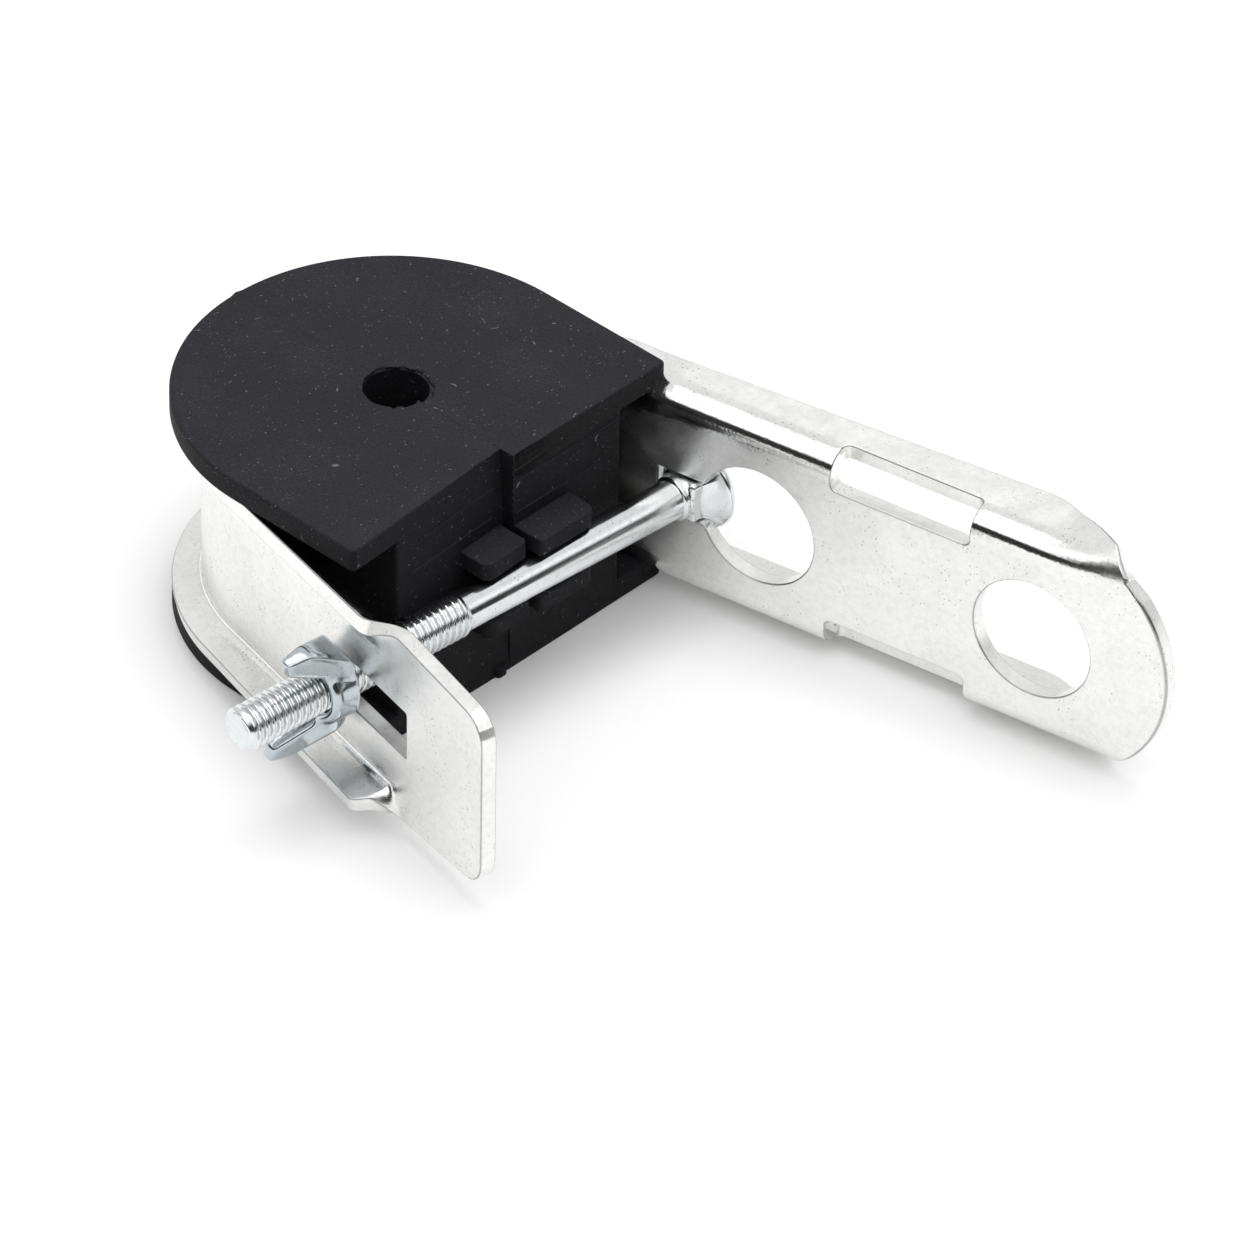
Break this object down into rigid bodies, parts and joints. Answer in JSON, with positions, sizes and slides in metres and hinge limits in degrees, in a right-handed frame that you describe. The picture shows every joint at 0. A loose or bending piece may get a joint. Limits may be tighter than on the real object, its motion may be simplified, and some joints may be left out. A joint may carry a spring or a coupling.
{
  "type": "j-hook suspension clamp",
  "caption": "J-hook suspension clamp for aerial cable: bent zinc-plated sheet bracket round a split rubber insert, closed by a square-neck bolt and a wing nut.",
  "frame": {"origin": "on the axis of the cable bore, at the middle of its height", "axes": "+Z along the cable bore, +X from the bore to the insert's flat front face and along the long arm, +Y from the short leg to the long arm"},
  "size_m": [0.1656, 0.1214, 0.0448],
  "materials": {
    "zinc_sheet": "bright zinc, satin gloss",
    "rubber": "matte moulded rubber",
    "zinc_bolt": "bright zinc, gloss",
    "zinc_nut": "bright zinc on a cast nut, gloss"
  },
  "bodies": {
    "clamp": {"bracket": "zinc_sheet", "insert_arm_half": "rubber", "insert_leg_half": "rubber"},
    "nut": {"wing_nut": "zinc_nut"},
    "screw": {"bolt": "zinc_bolt"}
  },
  "joints": [
    {"name": "nut_spin", "type": "hinge", "parent": "clamp", "child": "nut", "pos_m": [0.02838, -0.04246, 0], "axis": [-0.0732, -0.9973, 0], "range_deg": [0, 3240]},
    {"name": "bolt_slide", "type": "slide", "parent": "clamp", "child": "screw", "axis": [0.0732, 0.9973, 0], "range_m": [0, 0.0127]}
  ],
  "couplings": [
    {"joint": "bolt_slide", "follows": "nut_spin", "m_per_rad": 0.00022458}
  ]
}
